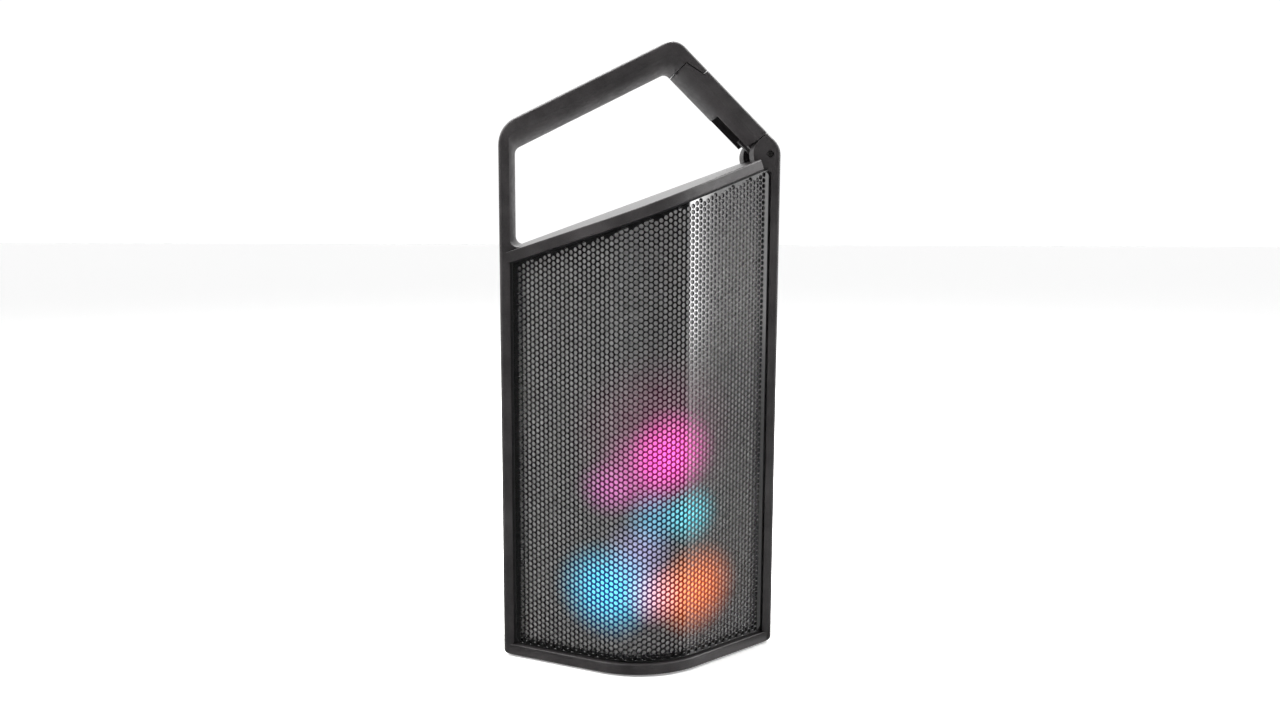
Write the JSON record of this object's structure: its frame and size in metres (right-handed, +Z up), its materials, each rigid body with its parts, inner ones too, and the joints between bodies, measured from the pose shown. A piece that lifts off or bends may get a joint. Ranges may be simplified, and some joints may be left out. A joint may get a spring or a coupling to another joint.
{
  "type": "portable party speaker",
  "caption": "Slim upright portable speaker: V-fronted perforated grille lit from inside, in a moulded frame that rises into an angular carry handle with a spring gate.",
  "frame": {"origin": "middle of the base, on the plane the feet stand on", "axes": "+Z up along the height, front faces -Y, +X to the right seen from the front"},
  "size_m": [0.128, 0.059, 0.2813],
  "materials": {
    "frame_plastic": "finely textured moulded charcoal plastic",
    "grille_metal": "gloss black perforated steel",
    "gasket_foam": "black foam rubber",
    "diffuser_white": "milky translucent sheet",
    "steel": "bright steel",
    "screw_steel": "black oxide steel",
    "box_plastic": "plain moulded black plastic",
    "basket_plastic": "black moulded driver basket",
    "surround_rubber": "soft black rubber",
    "cone_paper": "pressed paper cone",
    "magnet_ferrite": "ferrite magnet",
    "circuit_board": "green solder mask",
    "led_body": "white LED packages",
    "cell_wrap": "blue cell wrap",
    "board_part": "metal cans",
    "panel_plastic": "finely textured moulded plastic",
    "insert_gloss": "glossy black plastic",
    "key_rubber": "soft-touch keys",
    "lens_plastic": "milky light pipes",
    "cover_rubber": "soft rubber",
    "socket_plastic": "black socket",
    "foot_rubber": "rubber pads"
  },
  "bodies": {
    "speaker": {"aux_socket": "socket_plastic", "battery_holder": "box_plastic", "board_parts": "board_part", "carry_frame": "frame_plastic", "control_board": "circuit_board", "control_panel": "insert_gloss", "cover_anchor": "cover_rubber", "front_grille": "grille_metal", "front_left_foot": "foot_rubber", "front_right_foot": "foot_rubber", "grille_gasket": "gasket_foam", "hinge_pin": "steel", "led_board": "circuit_board", "leds": "led_body", "left_driver_basket": "basket_plastic", "left_driver_cone": "cone_paper", "left_driver_magnet": "magnet_ferrite", "left_driver_surround": "surround_rubber", "light_diffuser": "diffuser_white", "lower_battery_cell": "cell_wrap", "main_board": "circuit_board", "rear_left_foot": "foot_rubber", "rear_panel": "panel_plastic", "rear_right_foot": "foot_rubber", "rear_screws": "screw_steel", "right_driver_basket": "basket_plastic", "right_driver_cone": "cone_paper", "right_driver_magnet": "magnet_ferrite", "right_driver_surround": "surround_rubber", "speaker_box": "box_plastic", "status_lens": "lens_plastic", "upper_battery_cell": "cell_wrap", "usb_socket": "steel"},
    "gate": {"gate": "frame_plastic", "gate_spring": "steel"},
    "port_cover": {"port_cover": "cover_rubber"},
    "power_button": {"power_button": "key_rubber"},
    "pair_button": {"pair_button": "key_rubber"},
    "volume_down_button": {"volume_down_button": "key_rubber"},
    "play_button": {"play_button": "key_rubber"},
    "volume_up_button": {"volume_up_button": "key_rubber"},
    "light_button": {"light_button": "key_rubber"}
  },
  "joints": [
    {"name": "gate_hinge", "type": "hinge", "parent": "speaker", "child": "gate", "pos_m": [0.05903, 0.0155, 0.23259], "axis": [0, -1, 0], "range_deg": [0, 28], "stiffness_Nm_per_rad": 0.05, "springref_deg": -34.38},
    {"name": "port_cover_hinge", "type": "hinge", "parent": "speaker", "child": "port_cover", "pos_m": [-0.018, 0.0282, 0.098], "axis": [0, 0, 1], "range_deg": [0, 110], "stiffness_Nm_per_rad": 0.003, "springref_deg": -5.73},
    {"name": "power_press", "type": "slide", "parent": "speaker", "child": "power_button", "axis": [0, -1, 0], "range_m": [0, 0.0006], "stiffness_N_per_m": 500, "springref_m": -0.0006},
    {"name": "pair_press", "type": "slide", "parent": "speaker", "child": "pair_button", "axis": [0, -1, 0], "range_m": [0, 0.0006], "stiffness_N_per_m": 500, "springref_m": -0.0006},
    {"name": "volume_down_press", "type": "slide", "parent": "speaker", "child": "volume_down_button", "axis": [0, -1, 0], "range_m": [0, 0.0006], "stiffness_N_per_m": 500, "springref_m": -0.0006},
    {"name": "play_press", "type": "slide", "parent": "speaker", "child": "play_button", "axis": [0, -1, 0], "range_m": [0, 0.0006], "stiffness_N_per_m": 500, "springref_m": -0.0006},
    {"name": "volume_up_press", "type": "slide", "parent": "speaker", "child": "volume_up_button", "axis": [0, -1, 0], "range_m": [0, 0.0006], "stiffness_N_per_m": 500, "springref_m": -0.0006},
    {"name": "light_press", "type": "slide", "parent": "speaker", "child": "light_button", "axis": [0, -1, 0], "range_m": [0, 0.0006], "stiffness_N_per_m": 500, "springref_m": -0.0006}
  ]
}
